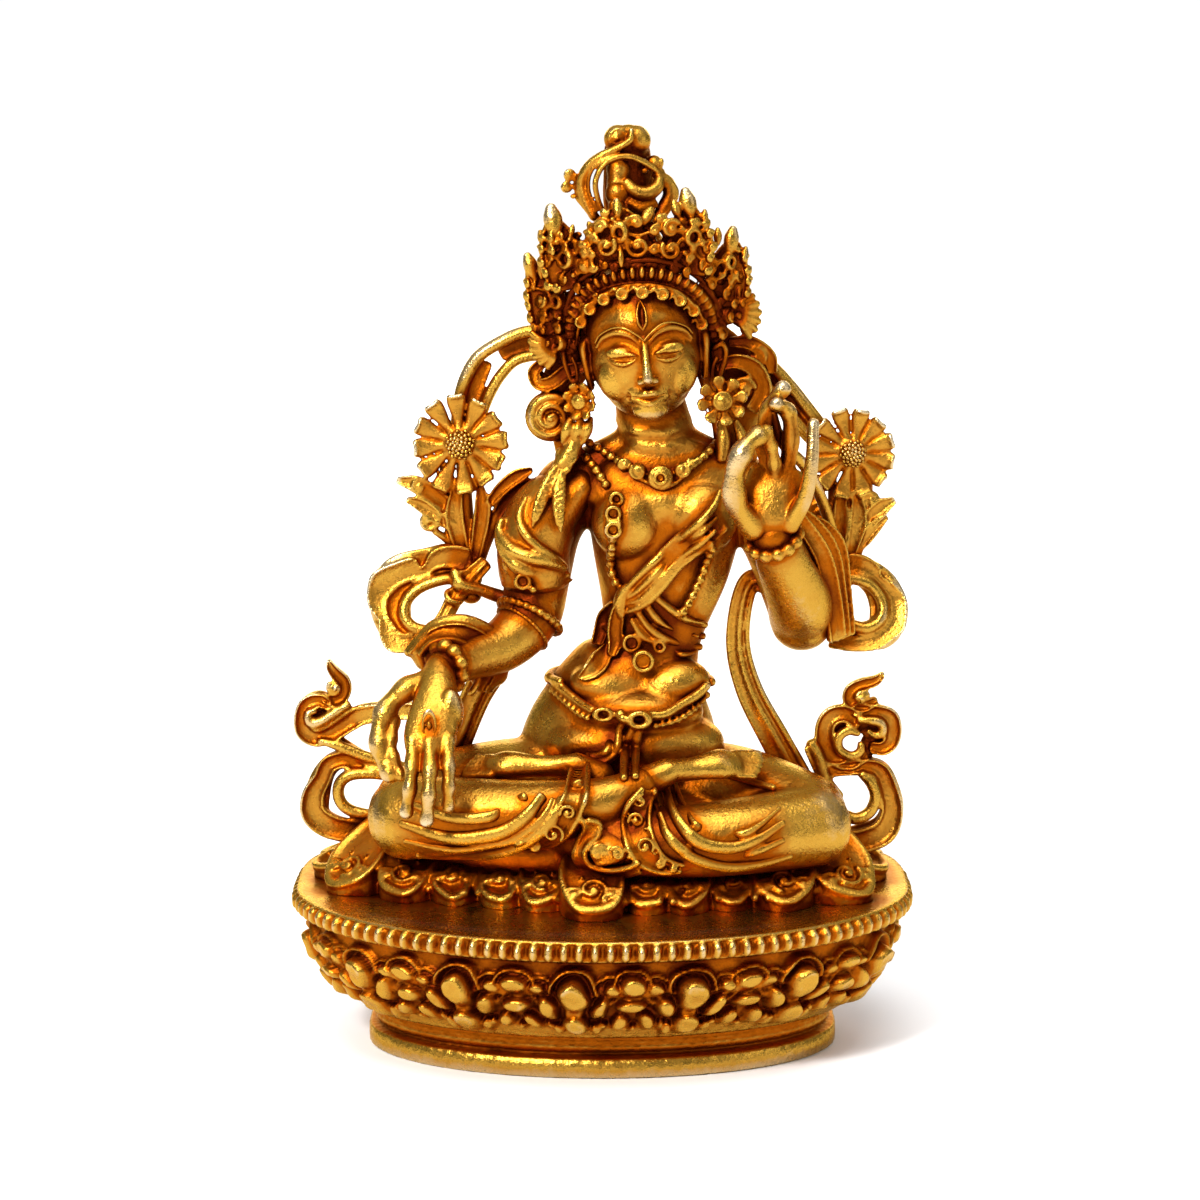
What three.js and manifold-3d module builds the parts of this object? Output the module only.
// A small cast and gilded White Tara, seated in full lotus on an oval lotus plinth.
// Millimetres, +Z up, the front faces -Y, and the origin is the middle of the plinth's underside.
// The plinth's plan is rounder in front than behind, so the figure's axis lies a little behind the origin.
// The figure lowers its right hand over the right knee and raises its left hand before the chest.
import * as THREE from "three";
import { mergeVertices } from "three/addons/utils/BufferGeometryUtils.js";
import Module from "manifold-3d";

// Driving dimensions of the plinth.
const rimWidth = 78; // across the beaded rim, left to right
const rimFront = 31; // from the figure's axis to the front of the rim
const rimBack = 26; // from the figure's axis to the back of the rim
const backFullness = 0.5; // 1 makes the plan's back half an oval, and less makes it squarer
const plinthHeight = 20; // from the underside to the flat seat
const footInset = 10.5; // how far the foot stands in from the rim at the sides and the back
const frontInset = 1.25; // insets at the front are larger by this much
const footHeight = 4.6; // plain drum under the petals
const flangeHeight = 2.3; // turned lip at the very bottom
const flangeProud = 0.8; // how far that lip stands out from the drum
const rimHeight = 2.4; // the beaded edge under the seat
const rimBeads = 116; // beads round the rim
const beadDepth = 0.7; // how far the rim is nicked in between two beads
const petalCount = 14; // petals round the plinth
const petalPhase = 0.74; // where the first petal begins, as a share of a petal
const petalRelief = 1.8; // how far the petals' bosses stand proud of the bowl

// Driving dimensions of the figure.
const figureHeight = 95; // from the seat to the top of the hair knot
const hemGap = 2.2; // bare seat left between the spread hem and the rim, at the sides
const hemFront = 10.5; // bare seat left between the hem and the rim, at the front
const hemThickness = 2.6;
const hemLobes = 15;
const beadRadius = 0.8; // beads of the necklaces, belt and crown
const scarfThickness = 0.9; // half thickness of the free scarf ribbons
const flowerRadius = 6; // of the two lotus flowers at the shoulders
const flowerPetals = 12;

// Faces that the finished solids keep. Each is worked out finer, and its flattest edges are drawn together.
const plinthFaces = 3500;
const figureFaces = 6450;

const gilt = { color: 0xc98a2b, roughness: 0.34, metalness: 1 };

const wasm = await Module();
wasm.setup();

// Points of the figure are written in millimetres for this height, and scale with figureHeight.
const drawnHeight = 95;
const figureScale = figureHeight / drawnHeight;

const V = (x, y, z) => new THREE.Vector3(x, y, z);
const { clamp, lerp } = THREE.MathUtils;
const turn = Math.PI * 2;
const axisBack = (rimFront - rimBack) / 2; // how far the figure's axis lies behind the origin

function manifoldOf(places, faces) {
  const [vertProperties, triVerts] = [new Float32Array(places), new Uint32Array(faces)];
  return new wasm.Manifold(new wasm.Mesh({ numProp: 3, vertProperties, triVerts }));
}

// The solid that a closed three.js geometry becomes once map has moved each of its vertices.
function solid(geometry, map) {
  geometry.deleteAttribute("normal");
  geometry.deleteAttribute("uv");
  const merged = mergeVertices(geometry, 1e-4);
  const position = merged.attributes.position;
  const faces = merged.index.array;
  const point = V(0, 0, 0);
  for (let i = 0; i < position.count; i++) {
    map(point.fromBufferAttribute(position, i));
    position.setXYZ(i, point.x, point.y, point.z);
  }
  const made = manifoldOf(position.array, faces);
  if (made.volume() > 0) return made;
  // A map may mirror the shape, so its faces are turned back.
  for (let i = 0; i < faces.length; i += 3) [faces[i + 1], faces[i + 2]] = [faces[i + 2], faces[i + 1]];
  return manifoldOf(position.array, faces);
}

// All solids joined into one, pair by pair.
function joined(solids) {
  let row = solids.flat(Infinity);
  while (row.length > 1) {
    const next = [];
    for (let i = 0; i < row.length; i += 2) {
      const [first, second] = row.slice(i, i + 2);
      next.push(second ? first.add(second) : first);
    }
    row = next;
  }
  return row[0];
}

// A smooth curve through stations [x, y, z, halfWidth, halfThickness]. Its width lies near across.
function spine(stations, across) {
  const places = new THREE.CatmullRomCurve3(stations.map((s) => V(s[0], s[1], s[2])));
  const sizes = new THREE.CatmullRomCurve3(stations.map((s) => V(s[3], s[4] ?? s[3], 0)));
  const hint = V(...across);
  return (u) => {
    const place = places.getPoint(u);
    const along = places.getTangent(u);
    const wide = hint.clone().addScaledVector(along, -hint.dot(along)).normalize();
    const up = along.clone().cross(wide);
    return { place, along, wide, up, size: sizes.getPoint(u) };
  };
}

// A round-ended limb: a capsule bent along its stations, with an oval section of its own at each.
function limb(
  stations,
  { across = [1, 0, 0], sides = 5, steps = stations.length, cap = 0.8, ends = 1 } = {},
) {
  const at = spine(stations, across);
  return solid(new THREE.CapsuleGeometry(1, 2, ends, sides, steps), (p) => {
    const u = clamp((p.y + 1) / 2, 0, 1);
    const past = p.y > 1 ? p.y - 1 : Math.min(p.y + 1, 0);
    const { place, along, wide, up, size } = at(u);
    const reach = past * cap * Math.min(size.x, size.y);
    const { x, z } = p;
    p.copy(place).addScaledVector(along, reach);
    p.addScaledVector(wide, x * size.x).addScaledVector(up, z * size.y);
  });
}

// A ribbon: a flat bar bent along its stations. Its long edges stand up by fold, so that a groove runs
// between them.
function ribbon(stations, { across = [0, 1, 0], steps = stations.length + 1, fold = 0.5 } = {}) {
  const at = spine(stations, across);
  return solid(new THREE.BoxGeometry(2, 2, 2, 2, 1, steps), (p) => {
    const { place, wide, up, size } = at((p.z + 1) / 2);
    const lift = fold * size.y * (2 * Math.abs(p.x) - 1) * Math.sign(p.y);
    const { x, y } = p;
    p.copy(place).addScaledVector(wide, x * size.x).addScaledVector(up, y * size.y + lift);
  });
}

// An ellipsoid with half sizes [a, b, c], leaned sideways by an angle.
function blob(place, half, { lean = 0, sides = 6, rows = 5 } = {}) {
  const spin = new THREE.Euler(0, lean, 0);
  return solid(new THREE.SphereGeometry(1, sides, rows), (p) => {
    p.set(p.x * half[0], p.z * half[1], p.y * half[2]).applyEuler(spin).add(V(...place));
  });
}

// A faceted bead of one half size, or of three, [a, b, c].
function bead(place, half) {
  const size = Array.isArray(half) ? half : [half, half, half];
  return solid(new THREE.OctahedronGeometry(1, 0), (p) => p.multiply(V(...size)).add(V(...place)));
}

// A string of beads: a thin bar that swells once for each bead.
function beadString(points, radius, pitch = 2.6) {
  const path = new THREE.CatmullRomCurve3(points.map((p) => V(...p)));
  const count = Math.max(2, Math.round(path.getLength() / (pitch * radius)));
  const stations = Array.from({ length: 2 * count + 1 }, (_, i) => [
    ...path.getPointAt(i / (2 * count)).toArray(),
    radius * (i % 2 ? 1.05 : 0.6),
  ]);
  return limb(stations, { sides: 4, steps: 2 * count, across: [0.3, 1, 0.2] });
}

// A ring of beads round a limb at u, standing proud of its skin.
function beadRing(stations, u, across, radius, count = 9) {
  const { place, along, wide, up, size } = spine(stations, across)(u);
  return solid(new THREE.TorusGeometry(1, 0.5, 4, 2 * count), (p) => {
    const angle = Math.atan2(p.y, p.x);
    const swell = Math.round((angle / turn) * 2 * count) % 2 ? 1 : 0.65;
    const out = (Math.hypot(p.x, p.y) - 1) * 2 * radius * swell;
    const slide = p.z * 2 * radius * swell;
    const [x, y] = [Math.cos(angle) * (size.x + out), Math.sin(angle) * (size.y + out)];
    p.copy(place).addScaledVector(along, slide);
    p.addScaledVector(wide, x).addScaledVector(up, y);
  });
}

// A scroll: a round bar wound inwards in the plane of right and up, from angle start, turns times round.
function scroll(
  centre,
  right,
  up,
  radius,
  bar,
  { start = 0, turns = 1.2, inner = 0.3, thick = bar, steps = 8 } = {},
) {
  const [across, side, rise] = [V(...right).cross(V(...up)), V(...right), V(...up)];
  const stations = Array.from({ length: steps + 1 }, (_, i) => {
    const angle = start + (turns * turn * i) / steps;
    const r = radius * lerp(1, inner, i / steps);
    const p = V(...centre).addScaledVector(side, r * Math.cos(angle));
    p.addScaledVector(rise, r * Math.sin(angle));
    return [...p.toArray(), thick, lerp(bar, bar * 0.6, i / steps)];
  });
  return limb(stations, { across: across.toArray(), steps });
}

const crossOf = (a, b, c) => b.clone().sub(a).cross(c.clone().sub(a));

// Faces that hang together form a shell. A shell that faces inwards is a sealed pocket between limbs,
// and is filled. A shell of less than a crumb is a sliver that the joins left.
const crumb = 0.1; // cubic millimetres
function filled(corner, faces) {
  const next = corner.map((_, c) => c);
  const shellOf = (c) => {
    while (next[c] !== c) c = next[c] = next[next[c]];
    return c;
  };
  for (const [a, b, c] of faces) for (const other of [b, c]) next[shellOf(other)] = shellOf(a);
  const volume = new Map();
  for (const [a, b, c] of faces) {
    const part = corner[a].dot(corner[b].clone().cross(corner[c])) / 6;
    volume.set(shellOf(a), (volume.get(shellOf(a)) ?? 0) + part);
  }
  return faces.filter(([a]) => volume.get(shellOf(a)) > crumb);
}

// The same corners with fewer faces. One corner at a time moves onto a neighbour, where that leaves the
// planes that met at it the least behind. Corners on the flat seat stay on it.
function thinned(made, wanted) {
  const { vertProperties, triVerts, numProp } = made.getMesh();
  const corner = Array.from({ length: vertProperties.length / numProp }, (_, i) =>
    V(vertProperties[i * numProp], vertProperties[i * numProp + 1], vertProperties[i * numProp + 2]),
  );
  const triangles = Array.from(
    { length: triVerts.length / 3 },
    (_, k) => [...triVerts.slice(3 * k, 3 * k + 3)],
  );
  let faces = filled(corner, triangles);
  const seated = (c) => Math.abs(corner[c].z) < 1e-5;
  // The planes that met at each corner, as sums of n n, n d and d d weighed by area.
  const planes = corner.map(() => new Float64Array(10));
  for (const face of faces) {
    const n = crossOf(...face.map((c) => corner[c]));
    const area = n.length() / 2;
    n.normalize();
    const d = -n.dot(corner[face[0]]);
    const terms = [
      n.x * n.x,
      n.x * n.y,
      n.x * n.z,
      n.x * d,
      n.y * n.y,
      n.y * n.z,
      n.y * d,
      n.z * n.z,
      n.z * d,
      d * d,
    ];
    for (const c of face) terms.forEach((term, i) => (planes[c][i] += area * term));
  }
  const lag = (q, p) =>
    q[0] * p.x * p.x + 2 * q[1] * p.x * p.y + 2 * q[2] * p.x * p.z + 2 * q[3] * p.x + q[4] * p.y * p.y +
    2 * q[5] * p.y * p.z + 2 * q[6] * p.y + q[7] * p.z * p.z + 2 * q[8] * p.z + q[9];
  while (faces.length > wanted) {
    const around = corner.map(() => []);
    for (const face of faces) for (const c of face) around[c].push(face);
    const moves = [];
    for (const face of faces)
      for (let k = 0; k < 3; k++) {
        const [from, to] = [face[k], face[(k + 1) % 3]];
        if (seated(from) && !seated(to)) continue;
        const length = corner[from].distanceTo(corner[to]);
        moves.push({ from, to, cost: lag(planes[from], corner[to]) + 1e-4 * length * length });
      }
    moves.sort((a, b) => a.cost - b.cost);
    const busy = new Set();
    let left = Math.min(faces.length - wanted, Math.ceil(faces.length * 0.15));
    for (const { from, to } of moves) {
      if (left <= 0) break;
      if (busy.has(from) || busy.has(to)) continue;
      const near = new Set(around[from].flat());
      const shared = new Set(around[to].flat().filter((c) => c !== from && c !== to && near.has(c)));
      if (shared.size !== 2) continue;
      const kept = around[from].filter((face) => !face.includes(to));
      const folds = kept.some((face) => {
        const before = crossOf(...face.map((c) => corner[c]));
        const after = crossOf(...face.map((c) => corner[c === from ? to : c]));
        return after.dot(before) < 0.3 * before.length() * after.length() || after.length() < 1e-4;
      });
      if (folds) continue;
      near.forEach((c) => busy.add(c));
      around[to].flat().forEach((c) => busy.add(c));
      for (const face of around[from]) face[face.indexOf(from)] = to;
      planes[from].forEach((term, i) => (planes[to][i] += term));
      left -= 2;
    }
    const count = faces.length;
    faces = faces.filter(([a, b, c]) => a !== b && b !== c && c !== a);
    if (faces.length === count) break;
  }
  return { corner, faces };
}

// The plinth.

// The bowl's inset from the rim at height z, swelling from the foot up to the rim.
const petalTop = plinthHeight - rimHeight - 1;
function bowlInset(z) {
  const share = clamp((z - footHeight) / (petalTop - footHeight), 0, 1);
  return lerp(footInset - 1.2, 2.6, Math.sin((share * Math.PI) / 2) ** 0.85);
}

// A point on the plinth's plan, at an angle round the figure's axis and an inset from the rim. The plan is
// half an oval in front of the axis, and a fuller curve with rounded corners behind it.
function onPlan(angle, inset) {
  const [across, along] = [Math.cos(angle), Math.sin(angle)];
  const halfWidth = rimWidth / 2 - inset;
  if (along <= 0) return [halfWidth * across, (rimFront - frontInset * inset) * along];
  const fuller = (share) => Math.sign(share) * Math.abs(share) ** backFullness;
  return [halfWidth * fuller(across), (rimBack - inset) * fuller(along)];
}

// Angles that part the plan's edge into equal lengths, the first one at the front.
function evenAngles(count) {
  const inset = footInset / 2;
  const fine = 7200;
  const edge = (i) => V(...onPlan(-Math.PI / 2 + (turn * i) / fine, inset), 0);
  const lengths = [0];
  for (let i = 1; i <= fine; i++) {
    lengths.push(lengths[i - 1] + edge(i).distanceTo(edge(i - 1)));
  }
  const angles = Array.from({ length: count }, (_, k) => {
    const wanted = (lengths[fine] * k) / count;
    const i = Math.max(1, lengths.findIndex((length) => length > wanted));
    const part = (wanted - lengths[i - 1]) / (lengths[i] - lengths[i - 1]);
    return -Math.PI / 2 + (turn * (i - 1 + part)) / fine;
  });
  return { angles, round: lengths[fine] };
}

// How far the petals stand proud at a distance s from the middle of the nearest petal and a height z.
// Each petal is a round tip boss with a knob under it, and a lobed bar and two leaves lie between petals.
function petalSwell(s, z, spacing) {
  const low = footHeight + 2;
  const high = petalTop - 3;
  const between = spacing / 2 - Math.abs(s);
  const gem = (ds, dz, rs, rz) => petalRelief * clamp(1.4 * (1 - Math.hypot(ds / rs, dz / rz)), 0, 1);
  return Math.max(
    gem(s, z - high, 2.7, 3.1),
    gem(s, z - low, 2, 2.1),
    gem(between, z - high - 0.6, 4.4, 2),
    gem(between - spacing * 0.08, z - high + 3.4, 2, 2.2),
  );
}

function lotusPlinth() {
  const columns = 2 * rimBeads;
  const { angles, round } = evenAngles(columns);
  const spacing = round / petalCount;
  const lip = footInset - flangeProud;
  const rimBottom = plinthHeight - rimHeight;
  const bowlRows = 11;
  const bowl = Array.from({ length: bowlRows + 1 }, (_, i) => {
    const z = lerp(footHeight + 0.5, petalTop, i / bowlRows);
    return [bowlInset(z), z];
  });
  const profile = [
    [lip, 0],
    [lip, flangeHeight - 0.3],
    [footInset, flangeHeight],
    [footInset, footHeight],
    ...bowl,
    [2, rimBottom],
    [0.8, rimBottom + 0.1],
    [0, rimBottom + rimHeight * 0.45],
    [0.5, plinthHeight],
  ];
  const line = profile.map(([inset, z]) => new THREE.Vector2(rimWidth - inset, z));
  const [first, last] = [line[0], line.at(-1)].map((p) => new THREE.Vector2(0, p.y));
  return solid(new THREE.LatheGeometry([first, ...line, last], columns), (p) => {
    if (Math.hypot(p.x, p.z) < 1e-3) return p.set(0, 0, p.y);
    const z = p.y;
    const column = Math.round(((Math.atan2(p.x, p.z) / turn) * columns + columns) % columns) % columns;
    let inset = rimWidth - Math.hypot(p.x, p.z);
    const s = (((column / columns) * petalCount + petalPhase) % 1) * spacing - spacing / 2;
    if (z > footHeight && z < petalTop) inset -= petalSwell(s, z, spacing);
    if (z > rimBottom + 0.05 && z < plinthHeight && column % 2) inset += beadDepth;
    const [x, y] = onPlan(angles[column], inset);
    return p.set(x, y, z);
  });
}

// The figure. x runs to its left side, y to its back, and z up from the seat.

function torso() {
  const trunk = limb(
    [
      [1.2, 4, 1.5, 13, 9],
      [1.8, 3.5, 9, 13.5, 9],
      [2.4, 3, 17, 12.8, 8.4],
      [3.6, 2, 22.5, 10.6, 7.4],
      [5.4, 1.5, 27.5, 6.9, 5.4],
      [6.3, 1.2, 32.5, 6.4, 4.9],
      [7.4, 1, 40, 8.6, 5.6],
      [7.8, 1, 47, 10, 6],
      [7.5, 1.5, 51.5, 11.2, 4.6],
      [7, 1.2, 54, 5.2, 4],
      [6.6, 0.6, 57, 3.6, 3.7],
      [5.6, 0, 61, 3.6, 3.7],
    ],
    { sides: 12, steps: 18, cap: 0.3 },
  );
  const bosom = [2.6, 12.8].map((x) => blob([x, -4.2, 45.6], [4.3, 3.8, 4.4], { sides: 8, rows: 6 }));
  const belly = blob([5.2, -3.2, 24.5], [5.6, 4.2, 4.6], { sides: 8 });
  return [trunk, bosom, belly];
}

// The legs: each thigh runs out to its knee, each shin comes back across the lap, and the soles face up.
function legs() {
  const thigh = { across: [0, 0, 1], sides: 9, steps: 4, cap: 0.9, ends: 2 };
  const thighs = [
    limb([[-3, 4, 11, 7.5, 7], [-13, -1, 12, 6.5, 6.2], [-21.5, -5.6, 10.8, 6, 6]], thigh),
    limb([[9, 4, 11, 7.5, 7], [17, -1, 11.4, 6.5, 6.2], [23.6, -5.6, 10, 6, 6]], thigh),
  ];
  const shin = { across: [0, 0, 1], sides: 8, steps: 6, cap: 0.9, ends: 2 };
  const shins = [
    limb(
      [
        [-24.2, -8, 10.6, 5],
        [-16, -12, 11.6, 4.4],
        [-7, -13.6, 12, 3.8],
        [0.5, -13.6, 13.6, 3],
        [5.4, -13, 15.4, 2.2],
      ],
      shin,
    ),
    limb([[25.4, -8, 9.6, 5], [17.5, -11.6, 9.4, 4.6], [9, -13.2, 8.8, 4.2], [0, -12, 8.6, 3.6]], shin),
  ];
  const foot = { across: [0, 1, 0.4], sides: 7, steps: 5 };
  const feet = [
    limb(
      [
        [4.6, -12.8, 15.6, 1.9, 2],
        [9, -12, 16.4, 2.1, 1.7],
        [14, -10.4, 16, 2.5, 1.6],
        [18.8, -8.4, 14.8, 1.9, 1.1],
      ],
      foot,
    ),
    limb(
      [
        [-1, -9, 16.4, 1.8, 1.8],
        [-6, -8.6, 17.4, 2.2, 1.8],
        [-11, -7.6, 17, 2.4, 1.6],
        [-14.6, -6.4, 16.2, 1.7, 1],
      ],
      foot,
    ),
  ];
  const lap = blob([1, -3, 6], [27, 14.5, 8.5], { sides: 14, rows: 6 });
  return [thighs, shins, feet, lap];
}

// The head looks straight ahead, tipped a little to its right.
const headTilt = -0.1;

function head() {
  const skull = blob([5.2, -1.2, 67.8], [7.3, 7.9, 9.2], { lean: headTilt, sides: 12, rows: 8 });
  const jaw = blob([5.9, -3.4, 62.9], [4.6, 4.6, 4], { lean: headTilt, sides: 8 });
  const hair = blob([4.6, 1.6, 71], [8.4, 8.4, 9.2], { sides: 10, rows: 7 });
  const fringe = [-1, -0.7, 0, 0.7, 1].map((k) => {
    const lift = Math.sqrt(1 - k * k);
    return [5 + k * 7.8, -1 - 4.6 * lift, 67 + 9 * lift, 1.8];
  });
  const locks = limb(
    [[5, 6.5, 69, 6, 3], [6, 7.2, 60, 6.5, 2.6], [7, 6.6, 51, 7.5, 2], [7.4, 5.8, 42, 4, 1.2]],
    { sides: 8 },
  );
  return [skull, jaw, hair, locks, limb(fringe, { across: [0, 1, 0], sides: 6, steps: 7 })];
}

// What the ornaments lie on: the front of a solid at x and z, as a point standing proud of it.
function frontOf(made) {
  const target = meshOf("skin", made.getMesh());
  const ray = new THREE.Raycaster();
  const before = -2 * drawnHeight;
  return (x, z, proud = 0) => {
    ray.set(V(x, before, z), V(0, 1, 0));
    const [hit] = ray.intersectObject(target);
    return [x, (hit ? hit.point.y : 0) - proud, z];
  };
}

// Brows, lids, nose and lips, laid on the head.
function face(on) {
  const bar = (places, sizes) => limb(
    places.map(([x, z, proud], i) => [...on(x, z, proud), sizes[i]]),
    { across: [0, 1, 0] },
  );
  const nose = bar([[4.6, 71, 0], [4.8, 68.6, 0.4], [5, 66.4, 0.9]], [0.5, 0.7, 1]);
  const lips = blob(on(5.4, 63.4, -0.4), [2, 1, 0.9]);
  const brows = [-1, 1].map(
    (k) => bar(
      [[4.6 + k * 1, 70.8, -0.1], [4.7 + k * 3, 71.8, -0.1], [4.9 + k * 5, 70.6, -0.1]],
      [0.4, 0.5, 0.4],
    ),
  );
  const lids = [-1, 1].map((k) => blob(on(5 + k * 3, 68.6, -0.5), [1.8, 1, 0.9]));
  const ears = [-1, 1].map(
    (k) => limb([[5.2 + k * 7.3, -0.6, 70.5, 0.8, 1.4], [5.3 + k * 7.4, -0.8, 63, 0.7, 1.2]]),
  );
  return [nose, lips, brows, lids, ears];
}

// One leaf of the crown: a pointed plate with a ring jewel, a scroll each side, and a drop at its tip.
function crownLeaf(base, lean, height, width, facing) {
  const right = V(
    Math.cos(facing) * Math.cos(lean),
    Math.sin(facing),
    -Math.cos(facing) * Math.sin(lean),
  ).normalize();
  const up = V(Math.sin(lean), 0.12, Math.cos(lean)).normalize();
  const out = right.clone().cross(up).normalize();
  const at = (r, u, o) => {
    const place = V(...base).addScaledVector(right, r).addScaledVector(up, u);
    return place.addScaledVector(out, o).toArray();
  };
  const plate = limb(
    [
      [...at(0, -3, 0), width * 0.8, 1.1],
      [...at(0, height * 0.3, 0), width, 1],
      [...at(0, height * 0.68, 0), width * 0.55, 0.8],
      [...at(0, height * 0.9, 0), 0.9, 0.7],
    ],
    { across: right.toArray(), sides: 6, cap: 1 },
  );
  const drop = limb(
    [[...at(0, height * 0.82, 0), 0.7], [...at(0, height, 0), 1.25], [...at(0, height + 1.4, 0), 0.8]],
  );
  const jewel = bead(at(0, height * 0.4, 0.9), [1.5, 1.2, 1.5]);
  const sides = [-1, 1].map((k) => bead(at(k * width * 0.55, height * 0.12, 0.6), [1.5, 1.3, 1.5]));
  return [plate, drop, jewel, sides];
}

function crown() {
  const arc = [-1, -0.82, -0.45, 0, 0.45, 0.82, 1];
  const hoop = limb(
    arc.map((k) => {
      const lift = Math.sqrt(1 - k * k);
      return [5.2 + k * 8.6, -1.5 - 5.2 * lift, 67.5 + 10.4 * lift - Math.abs(k), 1.15];
    }),
    { across: [0, 1, 0], sides: 6, steps: 9 },
  );
  const beads = Array.from({ length: 13 }, (_, i) => {
    const a = Math.PI * (0.08 + (0.84 * i) / 12);
    return bead([5.1 - 7.5 * Math.cos(a), -2.2 - 4.9 * Math.sin(a), 67.4 + 9 * Math.sin(a)], 1);
  });
  const leaves = [
    crownLeaf([3, -6, 78.2], -0.08, 6.4, 3.8, 0),
    crownLeaf([-1.8, -3.8, 76], -0.44, 8.2, 4.2, -0.4),
    crownLeaf([9.7, -3.8, 76.6], 0.04, 8.6, 3.9, 0.4),
    crownLeaf([-4.8, 0, 70.5], -0.58, 7.6, 4.4, -0.6),
    crownLeaf([14.2, 0, 72.5], 0.26, 7.8, 5, 0.6),
  ];
  // Ribbon fans over the ears, and the scrolls of ribbon that hang beside the cheeks.
  const fans = [[-2.6, 66.6, -1], [13.4, 71.4, 1]].map(([x, z, k]) =>
    [-1, 0, 1].map((spread) =>
      limb(
        [[x, -1, z, 1], [x + k * 3, -0.4, z + spread, 1.2], [x + k * 5.2, 0, z - 0.8 + spread * 2, 0.9]],
        { across: [0, 1, 0] },
      ),
    ),
  );
  const flat = [1, 0, 0];
  const rise = [0, 0, 1];
  const curls = [
    scroll([-5.6, 0.4, 58], [-1, 0, 0], rise, 3.6, 1.1, { start: 0.6, turns: 1.2 }),
    scroll([-7.6, 1, 63.4], [-1, 0, 0], rise, 2, 1.1, { start: -0.5, turns: 0.9, steps: 6 }),
    limb(
      [
        [-2, 1, 66, 1.8, 1.2],
        [-3.8, 0.8, 61, 3.4, 1.4],
        [-3.8, 0.8, 56, 3.6, 1.4],
        [-2.6, 0.2, 51.6, 2, 1.2],
      ],
      { sides: 6 },
    ),
    scroll([17, 0.2, 61.2], flat, rise, 2.8, 1.1, { start: 0.2, turns: 1.2 }),
    limb(
      [
        [13, 1, 70, 1.8, 1.2],
        [15.6, 1.2, 65, 3.2, 1.4],
        [16.6, 1.2, 60, 3.4, 1.4],
        [16.4, 0.8, 54, 2.4, 1.2],
        [16, 1, 50, 2.2, 1.4],
      ],
      { sides: 6 },
    ),
    scroll([18.9, 1.4, 66.4], flat, rise, 1.7, 1.1, { start: 1.4, turns: 0.8, steps: 6 }),
  ];
  const earrings = [
    lotusFlower([14.7, -1.6, 61.2], 2.9, 8),
    lotusFlower([-3, -1.6, 60.6], 2.6, 8),
    limb([[12.6, -0.6, 64, 1.2], [13.6, -0.6, 62, 1.2], [15.4, 0, 60.6, 1.2]]),
  ];
  return [hoop, beads, leaves, fans, curls, earrings];
}

// The bound-up hair: a tall knot with a bun on top, wrapped by curling flame leaves.
function hairKnot() {
  const knot = [
    [4, 1.6, 77, 5.5],
    [3.4, 1.8, 82, 4.4],
    [3, 2, 86, 3.9],
    [3, 2, 89.8, 3.3],
    [2.8, 1.6, 92.6, 2.4],
  ];
  const stem = limb(knot, { sides: 9, steps: 8, cap: 1, ends: 2 });
  const bar = (stations) => limb(stations, { across: [0, 1, 0] });
  const strands = [
    bar([
      [3, 0, 93.2, 0.8],
      [0.9, -0.2, 91.8, 0.9],
      [-1, 0, 89.6, 1],
      [-1.3, 0, 86.4, 1.1],
      [0, 0, 83, 1.2],
    ]),
    bar([
      [0.2, -1.6, 84.4, 0.7],
      [-0.8, -1.6, 87.4, 0.7],
      [0.4, -1.6, 90.7, 0.7],
      [2.9, -1.4, 91.4, 0.7],
      [6.6, -1, 89.4, 0.7],
    ]),
    bar([[6, 0, 89.2, 0.9], [7.3, 0, 87.8, 1], [7.4, 0, 86, 1], [5.8, 0, 82.8, 1.1]]),
    bar([[-0.8, -0.4, 83.8, 0.9], [-2.6, 0, 86.5, 0.9], [-3.5, 0, 88.4, 0.9]]),
    bar([[3.2, -1.4, 87.8, 1], [5.1, -1.4, 86.8, 1], [6.7, -0.8, 87.5, 1]]),
  ];
  const curls = [[-4, 89], [-4.2, 87.4], [6.4, 90.2]].map(([x, z]) => blob([x, 0, z], [1, 0.9, 1]));
  const bun = scroll([1.9, 0, 92.9], [1, 0, 0], [0, 0, 1], 1.2, 0.8, { start: 0.4, turns: 1 });
  const bulge = blob([4, 0.4, 93.1], [1.5, 1.6, 1.7]);
  const peg = limb([[1.9, -1.6, 84.6, 1.8], [1.9, -1.4, 88, 1.7], [1.9, -0.8, 90.2, 1.4]]);
  return [stem, strands, curls, bun, bulge, peg];
}

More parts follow.
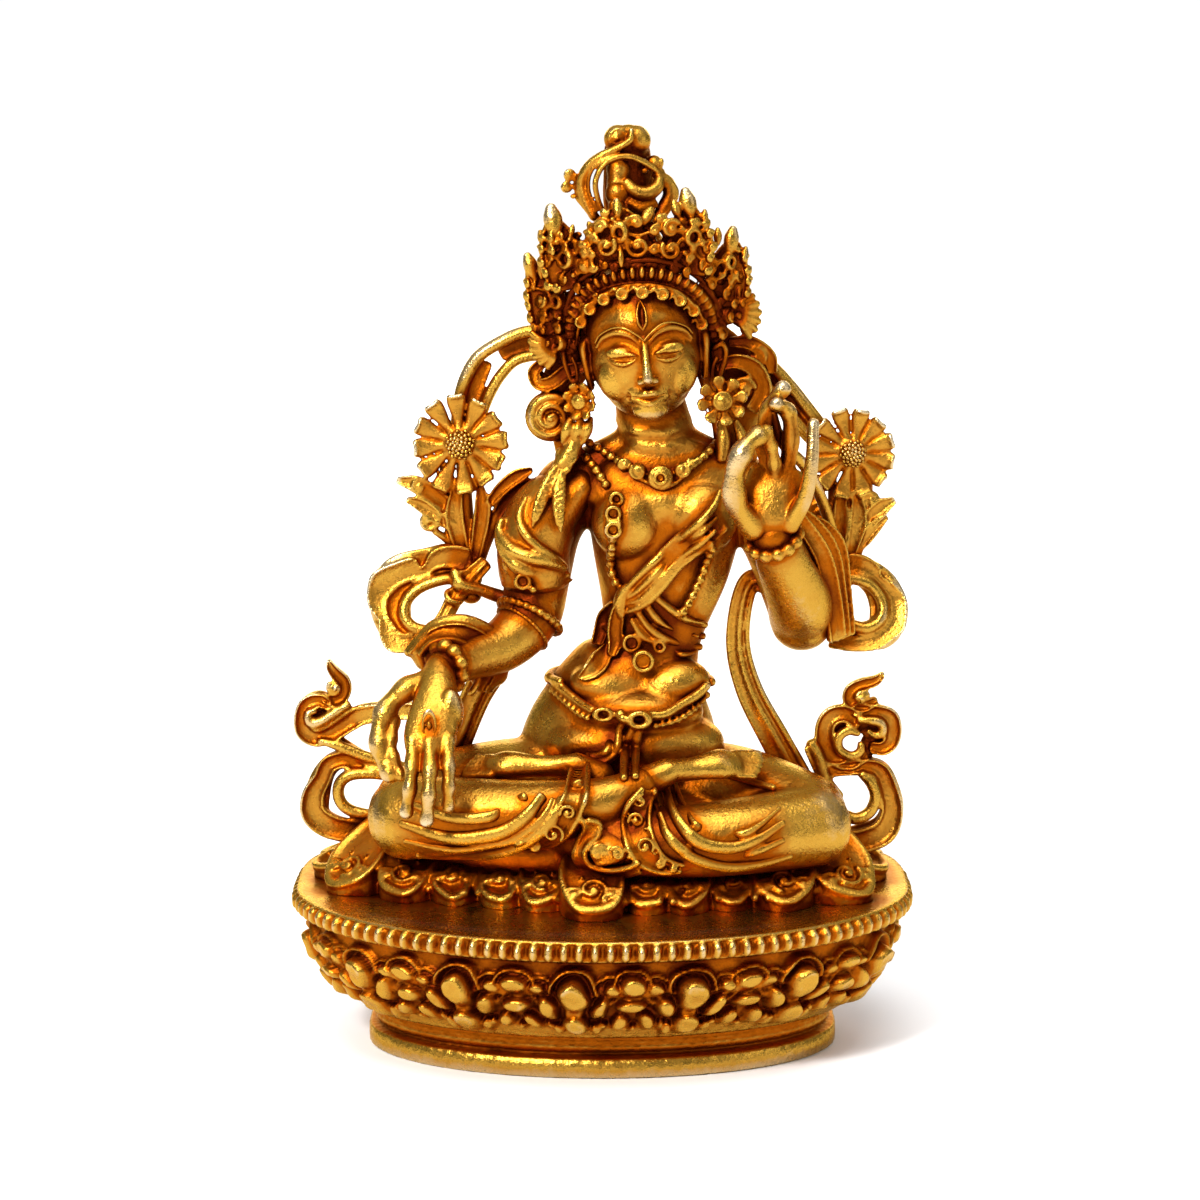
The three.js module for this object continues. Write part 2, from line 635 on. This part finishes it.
// The fold lines of the robe: nested ribs that sag across each shin, and its embroidered borders.
function robeFolds() {
  const right = [0, 1, 2].map((k) =>
    limb([
      [-19 + k, -15 - k * 0.3, 10.4 - k * 1.9, 0.6],
      [-11 + k, -16.7 - k * 0.4, 8.4 - k * 2.1, 0.8],
      [-4 + k, -16.5, 10.2 - k * 1.9, 0.8],
      [-0.6 + k * 1.3, -15.4, 14.6 - k * 1.6, 0.7],
    ]),
  );
  const left = [0, 1, 2].map((k) =>
    limb([
      [24 - k, -13.4 - k * 0.5, 9 - k * 1.7, 0.6],
      [17 - k, -15.6 - k * 0.5, 6.2 - k * 1.6, 0.8],
      [11 - k * 1.3, -16.7 - k * 0.2, 8 - k * 1.5, 0.8],
      [7.4 - k * 1.5, -15.8, 13 - k, 0.7],
    ]),
  );
  const borders = [
    ribbon([
      [-2, -14, 14.6, 1.2, 0.8],
      [0, -15.4, 10.6, 1.9, 0.8],
      [-3, -16.2, 6.4, 2.1, 0.8],
      [-9, -16.2, 3.4, 1.2, 0.8],
    ], {
      across: [1, 0, -0.4],
    }),
    ribbon([
      [6, -15, 12, 1.4, 0.8],
      [4.6, -16.4, 8.4, 2, 0.8],
      [7, -16.9, 4.4, 2.2, 0.8],
      [12, -16.9, 1.8, 1.6, 0.8],
    ], {
      across: [1, 0, 0.4],
    }),
    ribbon([
      [0.6, -15, 10, 1.2, 0.8],
      [0.4, -15.8, 7.4, 1.6, 0.8],
      [-2, -16.2, 4.8, 2, 0.8],
      [2, -16.8, 2.8, 2.4, 0.8],
      [6, -17, 2.6, 2, 0.8],
    ], {
      across: [0, 0.2, 1],
    }),
  ];
  return [right, left, borders];
}

// The hem of the robe, spread on the seat in scalloped lobes with raised lips.
function hem() {
  const halfWidth = (rimWidth / 2 - hemGap) / figureScale;
  const halfDepth = (rimFront - hemFront) / figureScale;
  const samples = hemLobes * 4;
  const outline = Array.from({ length: samples }, (_, i) => {
    const a = (turn * i) / samples;
    const wave = 0.93 + 0.07 * Math.abs(Math.sin((a * hemLobes) / 2)) ** 0.7;
    return new THREE.Vector2(halfWidth * wave * Math.cos(a), halfDepth * wave * Math.sin(a));
  });
  const sheet = new THREE.ExtrudeGeometry(
    new THREE.Shape(outline),
    { depth: hemThickness * 0.55, bevelEnabled: false },
  );
  const mound = blob([0.5, -1.2, 0.6], [halfWidth * 0.88, halfDepth * 0.92, 5], { sides: 14, rows: 6 });
  const lips = Array.from({ length: hemLobes }, (_, k) => {
    const middle = (turn * (k + 0.5)) / hemLobes;
    if (Math.sin(middle) > 0.45) return [];
    const arc = [-1, 0, 1].map((s) => {
      const a = middle + (s * 0.36 * turn) / hemLobes;
      const share = s ? 0.84 : 0.95;
      return [
        halfWidth * share * Math.cos(a),
        halfDepth * share * Math.sin(a),
        hemThickness * 0.7,
        1,
        0.9,
      ];
    });
    return [limb(arc, { across: [0, 0, 1] })];
  });
  return [solid(sheet, (p) => p), mound, lips];
}

// The lowered right arm, on the -x side, with its sleeve of scarf, armlet, cuff and open hand.
const loweredArmLine = [
  [-3.8, 2, 50, 4.7],
  [-7.2, 1.5, 45, 5],
  [-7.9, 0.6, 38.8, 4.7],
  [-8.6, -0.8, 34.2, 4.2],
  [-12.2, -3.4, 31.1, 3.5],
  [-16.4, -6.8, 30.2, 2.8],
  [-19.8, -10.4, 29.4, 2.1],
];

function loweredArm() {
  const arm = limb(loweredArmLine, { sides: 9, steps: 11, across: [0, 1, 0.3] });
  const palm = limb(
    [[-20, -11.4, 29, 1.9, 1.7], [-20, -14.6, 26, 2.9, 1.5], [-20.6, -17.6, 21.6, 3.1, 1.4]],
    { sides: 7 },
  );
  const fingers = [
    [[-22.8, -17.6, 22.2, 1.05], [-23, -20, 17.9, 0.95], [-23.5, -19.6, 13.9, 0.75]],
    [[-21, -18, 22, 1.05], [-20.9, -21, 17.5, 0.95], [-21.2, -20.4, 14.1, 0.75]],
    [[-18.8, -17.6, 22.2, 1.05], [-18.6, -20, 18.5, 0.95], [-18.9, -19.4, 15.1, 0.75]],
    [
      [-20.6, -12.2, 28.2, 1.5],
      [-24.6, -13, 26.7, 1.6],
      [-27, -14, 23.5, 1.3],
      [-26.6, -15.6, 19.9, 1.1],
      [-25.4, -16, 17.8, 0.9],
    ],
  ].map((stations) => limb(stations));
  const sleeve = [0, 1, 2].map((k) =>
    limb(
      [
        [-2.8 - k * 0.8, -2.8, 47 - k * 2.6, 0.8],
        [-7.4 - k * 0.6, -3.8, 44.4 - k * 2.8, 1.1],
        [-11.8 - k * 0.3, -1, 44.8 - k * 3, 1],
        [-12.2, 1.8, 46.4 - k * 3, 0.8],
      ],
      { across: [0, 0, 1] },
    ),
  );
  const rings = [
    beadRing(loweredArmLine, 0.42, [0, 1, 0.3], beadRadius),
    beadRing(loweredArmLine, 0.93, [0, 1, 0.3], beadRadius),
  ];
  const cuff = ribbon(
    [
      [-22, -3.2, 31, 2.6, 0.8],
      [-19.6, -5.4, 33.8, 2.8, 0.8],
      [-15.6, -6.2, 33.4, 2.8, 0.8],
      [-13.8, -5.4, 30.4, 2.6, 0.8],
      [-14.6, -4.4, 26.6, 2.2, 0.8],
    ],
    { across: [0.8, 0.6, 0.3] },
  );
  const drape = limb([
    [-13.6, -0.6, 28.6, 2.2, 1.6],
    [-15.8, 0.6, 24.2, 2, 1.5],
    [-17.3, 1.2, 20.5, 1.9, 1.4],
    [-19.4, 1, 15, 2, 1.4],
  ], {
    sides: 6,
  });
  return [arm, palm, fingers, sleeve, rings, cuff, drape];
}

// The raised left arm, on the +x side, with its bracelet, the scarf over the elbow, and a stem in its hand.
const forearmLine = [
  [24.6, -2.2, 34.6, 4.1],
  [24, -6.4, 37.5, 3.9],
  [21.8, -11, 42.8, 3.2],
  [20.4, -13.8, 46.6, 2.4],
];

function raisedArm() {
  const upper = limb(
    [[17.6, 2, 49.6, 4.4], [21.4, 1.6, 44, 4.2], [24, 0.4, 37, 4.1], [24.6, -1.8, 33.8, 3.9]],
    { sides: 9, ends: 2 },
  );
  const fore = limb(forearmLine, { sides: 9, steps: 5 });
  const palm = limb([
    [20.3, -14.2, 46.6, 2.4, 1.8],
    [20.4, -14.6, 49.6, 4, 1.5],
    [20.6, -13.8, 53.4, 3.8, 1.3],
    [20.8, -12.8, 55.6, 2.6, 1.1],
  ], {
    sides: 8,
  });
  const fingers = [
    [[18, -15.2, 47.8, 1.5], [15.9, -16.8, 51.6, 1.35], [16.2, -17.4, 55.4, 1.2], [18.2, -17, 58.6, 1]],
    [[22.8, -14.8, 48.2, 1.2], [24.3, -16, 52.2, 1.1], [25, -16.4, 56.7, 1], [25, -15.8, 60, 0.8]],
    [[20.2, -13.2, 54.4, 1.15], [19.5, -14, 59.3, 1.1], [20.3, -14, 63, 1.05], [21.9, -14, 64.4, 0.8]],
    [[22.2, -13.2, 54, 1.15], [22.6, -14, 59.3, 1.05], [21.8, -15, 62.4, 0.8]],
  ].map((stations) => limb(stations));
  const bracelet = beadRing(forearmLine, 0.95, [1, 0, 0], beadRadius * 1.2);
  const stem = limb([[20, -13, 60, 0.9], [24.6, -8, 54, 0.9], [26.4, -3, 48, 0.9], [28.6, 1, 42, 0.9]]);
  const scarfStrips = [0, 1].map((k) =>
    ribbon(
      [
        [22.4 + k * 2.2, -8.4 + k * 2.6, 49 - k, 1.1, 0.8],
        [25.6 + k * 1.7, -7.2 + k * 2, 44.6, 1.4, 0.8],
        [27.6 + k, -5 + k * 1.4, 37.6, 1.5, 0.8],
        [28.4 + k, -3.6 + k, 31.8, 1.4, 0.8],
      ],
      { across: [0.8, 0.6, 0] },
    ),
  );
  return [upper, fore, palm, fingers, bracelet, stem, scarfStrips];
}

// Necklaces, the sash across the breast, the belt and its knot, all laid on the body.
function ornaments(on) {
  const laid = (places, size, options) => limb(
    places.map(([x, z]) => [...on(x, z, size * 0.3), size]),
    options,
  );
  const strung = (places, radius) => beadString(places.map(([x, z]) => on(x, z, radius * 0.3)), radius);
  const collar = strung([[0.6, 53], [2.4, 51], [7.4, 49], [12.6, 50.8], [14.4, 53]], beadRadius);
  const pendants = [[3.6, 49.9], [7.4, 47.8], [11.2, 49.7]].map(
    ([x, z]) => bead(on(x, z, 0.4), [1.5, 1, 1.5]),
  );
  const chain = strung(
    [[0, 51.4], [0.6, 47.4], [2.4, 43], [2.8, 38], [3.6, 33], [7, 31], [12, 35], [15.4, 40]],
    beadRadius * 0.9,
  );
  const sash = [0, 1, 2].map(
    (k) => laid(
      [[15.6, 46.4 - k * 1.9], [11.6, 41.6 - k * 1.7], [7.6, 36.8 - k * 1.3], [3.6, 32.6 - k * 0.6]],
      0.85,
    ),
  );
  const wraps = [0, 1, 2, 3].map(
    (k) => laid([[4, 31.6 - k * 1.1], [8, 30.4 - k * 1.4], [11.8, 30.2 - k * 1.5]], 0.65),
  );
  const tails = [
    ribbon(
      [[3, 33], [1.6, 28.6], [0.2, 25]].map(([x, z]) => [...on(x, z, 0.3), 1.4, 0.8]),
      { across: [1, 0, 0] },
    ),
    ribbon(
      [[3.6, 33], [3.4, 29], [1.4, 24.4]].map(([x, z]) => [...on(x, z, 0.6), 1.1, 0.8]),
      { across: [1, 0, 0] },
    ),
  ];
  const jewels = [[5, 28.2], [6.6, 26.4], [8.6, 28]].map(([x, z]) => bead(on(x, z, 0.4), [1.2, 1, 1.2]));
  const belt = strung([[-6, 22.4], [-2, 21.2], [4.2, 20.4], [10.6, 21.2], [13.2, 22]], beadRadius);
  const cord = laid([[-5.6, 24], [-3, 23.2], [3, 22.4], [10, 22.9], [12.8, 23.8]], 0.9);
  const bows = [-1, 1].map((k) => blob(on(4 + k * 2.4, 21.2, 0.4), [1.7, 1.1, 1.4]));
  const ends = [-1, 1].map((k) =>
    ribbon([
      [4 + k * 0.8, 20.6],
      [4 + k * 1.8, 17.6],
      [3.6 + k * 3.2, 15],
    ].map(([x, z]) => [...on(x, z, 0.3), 1, 0.9]), {
      across: [1, 0, 0],
    }),
  );
  const tresses = [
    [[-1.6, -0.6, 56, 1.3], [-3.6, -1.8, 53, 1.3], [-6.2, -2.6, 49, 1.1], [-7.2, -2.8, 44.4, 0.8]],
    [[-1.4, -0.8, 55.4, 1.3], [-2.8, -2.2, 51.6, 1.3], [-4.2, -3, 47, 1.2], [-4, -3.2, 43, 0.8]],
  ].map((stations) => limb(stations));
  return [collar, pendants, chain, sash, wraps, tails, jewels, belt, cord, bows, ends, tresses];
}

// A flower seen from the front: rounded petals round a domed heart, its face towards the viewer.
function lotusFlower(centre, radius, petals = flowerPetals) {
  const profile = [
    [0, 1.2],
    [0.6, 1.1],
    [0.86, 0.5],
    [1, -0.1],
    [0.82, -0.7],
    [0.4, -0.6],
    [0.3, -1.9],
    [0.16, -2.4],
    [0, -2.5],
  ];
  const line = profile.map(([r, y]) => new THREE.Vector2(r, y)).reverse();
  const columns = 4 * petals;
  return solid(new THREE.LatheGeometry(line, columns), (p) => {
    const r = Math.hypot(p.x, p.z);
    const angle = Math.atan2(p.z, p.x);
    const notch = r > 0.5 ? 0.8 + 0.2 * Math.abs(Math.sin((angle * petals) / 2)) ** 0.6 : 1;
    const depth = p.y * (radius > 4 ? 1 : radius / 3.4);
    const reach = r * notch * radius;
    p.set(reach * Math.cos(angle), depth, reach * Math.sin(angle)).add(V(...centre));
  });
}

// The flowers' stems and curling leaves.
function stemsAndLeaves() {
  const flat = { across: [0, 0, 1] };
  const right = [
    limb([[-19.6, 4.2, 52, 1.1], [-18.2, 4.2, 45, 1.1], [-16.8, 4, 41, 1.1], [-16.5, 3.4, 37.4, 1.2]]),
    limb([[-16.6, 4.2, 52, 1.3], [-16, 4.2, 44, 1.2], [-16, 3.6, 38, 1.3]]),
    limb([[-10.6, 4.2, 50.6, 1.2], [-13.2, 4.2, 46.4, 1.4], [-15.2, 4, 42, 1.2], [-15.8, 3.4, 38, 1.2]]),
    limb([[-19.6, 4, 48.4, 1], [-22.8, 3.8, 49.8, 1.3], [-25.6, 3.8, 50.6, 0.8]], flat),
    limb([[-19.4, 4, 46, 1], [-22, 3.8, 47.2, 1.3], [-24, 3.8, 48.2, 0.8]], flat),
    scroll([-21.6, 4, 45.6], [-1, 0, 0], [0, 0, 1], 1.5, 0.9, { turns: 1, start: 2.8, steps: 6 }),
    limb([[-12.8, 3.8, 46.6, 1.1], [-10, 3.4, 49, 1.6], [-7.4, 2.6, 50.2, 1.2]], flat),
    limb([[-16.4, 3, 38, 1.3], [-17.8, 3, 36.6, 1.2], [-19, 2.6, 34.6, 1.2], [-20.6, 1.4, 32, 1.1]]),
    limb([[-18.6, 3, 36, 1.2], [-15.5, 3, 37, 1.2], [-12.4, 1.8, 36.2, 1.2]]),
  ];
  const left = [
    limb([[30.6, 4.2, 51, 1.5], [29.8, 4, 44, 1.5], [28.8, 3, 38.4, 1.4], [27.2, 1.6, 34, 1.4]]),
    limb([[30.8, 4, 42.6, 1], [32.6, 4, 46.2, 1.2], [36.4, 3.8, 48.2, 1]]),
    limb([[32, 4, 45.2, 0.9], [34.2, 4, 46.2, 1], [35.4, 3.8, 46, 0.8]], flat),
    limb([[27.2, 3.6, 51, 1.2], [27.8, 3.4, 45, 1.5], [28.8, 3, 38.6, 1.3]]),
  ];
  return [right, left];
}

// The celestial scarf: it arcs from behind the head, loops at the elbows, and comes down to the seat.
function scarf() {
  const t = scarfThickness;
  const arcs = [
    ribbon([
      [-1.6, 5, 66.4, 1.8, t],
      [-6.5, 6, 67.4, 1.9, t],
      [-10.8, 6, 66.6, 2.1, t],
      [-14, 5.8, 64.2, 2.2, t],
      [-15.8, 5.2, 61, 2.2, t],
      [-16.6, 4.6, 57, 2, t],
    ], {
      across: [-0.5, 0, 0.8],
    }),
    ribbon([
      [12.2, 5, 66.6, 1.6, t],
      [16.4, 6, 65.8, 1.8, t],
      [19.9, 5.8, 63, 2, t],
      [22.8, 5.4, 60, 2, t],
      [27.6, 4.6, 55.6, 1.9, t],
    ], {
      across: [0.5, 0, 0.8],
    }),
  ];
  // The loops lie flat to the front: their stations give the half depth, then the half width.
  const loop = (stations) =>
    limb(
      stations.map(([x, y, z, wide]) => [x, y, z, 1.2 * t, wide]),
      { across: [0, 1, 0], sides: 6, steps: 9 },
    );
  const loops = [
    loop([
      [-15.6, 3.2, 39, 1.8],
      [-18.4, 3.2, 40.2, 2.7],
      [-21.6, 3.2, 39.9, 2.6],
      [-25.4, 3, 38.5, 3],
      [-26.3, 2.6, 35, 3.1],
      [-25, 1.8, 31.7, 2.5],
      [-22, 0, 30.7, 1.8],
      [-18.6, -2.6, 31, 1.6],
    ]),
    loop([
      [29.4, 2.6, 38, 1.5],
      [31.6, 3, 39.4, 1.9],
      [34.4, 3, 37.7, 2.3],
      [35.9, 2.8, 34.6, 2.7],
      [34.8, 1.4, 31.9, 2.3],
      [32.2, 0.2, 31.2, 1.9],
      [28.4, -1.4, 32, 1.6],
    ]),
  ];
  const fall = ribbon(
    [
      [22.6, 1.6, 36.8, 1.6, t],
      [18.4, 2.6, 38, 1.5, t],
      [16.9, 3, 31, 1.6, t],
      [18.3, 3, 24.4, 1.8, t],
      [21.8, 3, 17.6, 2, t],
      [25, 2.4, 11.6, 2, t],
      [27, 1.6, 6, 2, t],
    ],
    { across: [1, 0.2, 0.3], steps: 11 },
  );
  return [arcs, loops, fall];
}

// The scarf's ends: on each side of the seat an open loop, a curled disc above it, and a flame on top.
// Each is drawn in the picture's plane as stations [x, z, half width, y].
const rightEnd = [
  [
    [-21, 12.6, 1.2, -1],
    [-25.6, 13.8, 1.2, 1.4],
    [-29.6, 14.2, 1.3],
    [-32.6, 15.2, 1.5],
    [-34.6, 14, 1.6],
    [-35.8, 11, 2],
    [-35.8, 8, 2],
    [-33.6, 6.4, 1.9],
    [-30, 5.6, 1.8],
    [-25, 4.2, 1.8, 2],
  ],
  [
    [-27, 13.8, 0.8, 2],
    [-31.6, 13.4, 0.9],
    [-33, 11.6, 0.9],
    [-32.4, 9.2, 0.9],
    [-29.4, 8.2, 0.9],
    [-26, 7, 0.9],
  ],
  [[-24.6, 13.8, 0.9, 0], [-29.6, 15.4, 0.9, 2.4], [-32.8, 17.2, 0.9], [-34.4, 18.2, 0.9]],
  [
    [-17.6, 21.4, 1.2, 0.8],
    [-24, 21.8, 1.2, 1],
    [-30, 21, 1.3, 2.2],
    [-33.4, 18.8, 1.2],
    [-36, 18, 1.3],
    [-37.5, 19.6, 1.3],
    [-37.3, 21.8, 1.3],
    [-35.4, 23, 1.2],
    [-33, 21.4, 1.3],
  ],
  [[-36.6, 20, 1.4], [-34.4, 20.8, 1.4]],
  [
    [-31.8, 20.8, 1],
    [-34.4, 23.5, 0.8],
    [-33.4, 22.8, 0.9],
    [-32.2, 23.6, 1],
    [-32.2, 25.4, 1.1],
    [-33.6, 26.8, 0.9],
    [-34.2, 27.8, 0.5],
  ],
  [[-33.6, 24.6, 0.9], [-33, 24.4, 0.9]],
];
const leftEnd = [
  [
    [28, 14, 1, 2],
    [31.4, 14.2, 1.2],
    [34.6, 14, 1.4],
    [36, 11.6, 1.5],
    [36.6, 8.6, 1.7],
    [35, 6.2, 1.8],
    [31, 4.8, 1.8],
    [26, 3.6, 1.8, 2],
  ],
  [[32.6, 13.2, 0.8], [34.2, 10.8, 0.9], [33.4, 8.4, 0.9], [30.8, 7.8, 0.9, 2.6], [27.8, 9, 0.9, 1.6]],
  [[26, 17, 0.9, 1.6], [27.8, 13, 0.9, 2], [29.6, 10.6, 0.9, 1.6]],
  [
    [33, 19.4, 1.3],
    [31.4, 20.6, 1.4],
    [29, 20.2, 1.5],
    [28.3, 17.8, 1.5],
    [29, 15.6, 1.4],
    [31.2, 14.9, 1.2],
    [33.2, 16, 1.2],
  ],
  [
    [31.8, 21.6, 1],
    [34.4, 21.3, 1.1],
    [36.2, 20.2, 1.2],
    [36.3, 18, 1.3],
    [34.6, 16.9, 1.2],
    [32.8, 17.4, 1.1],
  ],
  [[32.8, 19.6, 1.3], [34.6, 19.4, 1.3]],
  [[34, 22.8, 0.9], [32, 22.3, 1], [31, 23.3, 1], [31.8, 24.8, 1], [33.8, 25.2, 0.9], [35.1, 26.2, 0.5]],
  [[32.2, 23.5, 0.9], [33.2, 23.7, 0.9]],
];

function scarfEnd(bars) {
  return bars.map((bar) =>
    limb(
      bar.map(([x, z, wide, y = 3.2]) => [x, y, z, 1.5, wide]),
      { across: [0, 1, 0], sides: 6, steps: bar.length },
    ),
  );
}

function taraFigure() {
  const body = joined([torso(), legs(), head()]);
  const on = frontOf(body);
  const flowers = [
    lotusFlower([-17.6, 3.6, 55.2], flowerRadius),
    lotusFlower([30.9, 3.6, 54.1], flowerRadius),
    limb([[-14, 3.6, 56, 1.1], [-11.6, 3.4, 56.5, 1.4], [-10, 3, 56, 0.8]], { across: [0, 0, 1] }),
    limb([[-14, 3.6, 54.2, 1.1], [-12.2, 3.4, 54, 1.4], [-10.6, 3, 53.8, 0.8]], { across: [0, 0, 1] }),
  ];
  const dress = [face(on), crown(), hairKnot(), robeFolds(), ornaments(on), hem()];
  const carried = [
    loweredArm(),
    raisedArm(),
    flowers,
    stemsAndLeaves(),
    scarf(),
    scarfEnd(rightEnd),
    scarfEnd(leftEnd),
  ];
  // Everything below the seat is cut away, so that the figure stands flat.
  const depth = drawnHeight / 2;
  const width = 3 * drawnHeight;
  const underSeat = solid(new THREE.BoxGeometry(width, width, depth), (p) => p.setZ(p.z - depth / 2));
  return joined([body, dress, carried]).subtract(underSeat);
}

function meshOf(name, { vertProperties, triVerts, numProp }) {
  const geometry = new THREE.BufferGeometry();
  geometry.setAttribute("position", new THREE.BufferAttribute(new Float32Array(vertProperties), numProp));
  geometry.setIndex(new THREE.BufferAttribute(new Uint32Array(triVerts), 1));
  geometry.computeVertexNormals();
  const mesh = new THREE.Mesh(
    geometry,
    new THREE.MeshStandardMaterial({ ...gilt, side: THREE.DoubleSide }),
  );
  mesh.name = name;
  return mesh;
}

// A solid as a mesh with at most the wanted number of faces, stretched by a scale.
function finished(name, made, wanted, scale = 1) {
  const { corner, faces } = thinned(made, wanted);
  const used = [...new Set(faces.flat())];
  const place = new Map(used.map((c, i) => [c, i]));
  const vertProperties = used.flatMap((c) => corner[c].multiplyScalar(scale).toArray());
  return meshOf(name, { vertProperties, triVerts: faces.flat().map((c) => place.get(c)), numProp: 3 });
}

const statue = new THREE.Group();
const plinth = finished("lotus_plinth", lotusPlinth(), plinthFaces);
const figure = finished("tara_figure", taraFigure(), figureFaces, figureScale);
plinth.position.y = axisBack;
figure.position.set(0, axisBack, plinthHeight);
statue.add(plinth, figure);

export default statue;
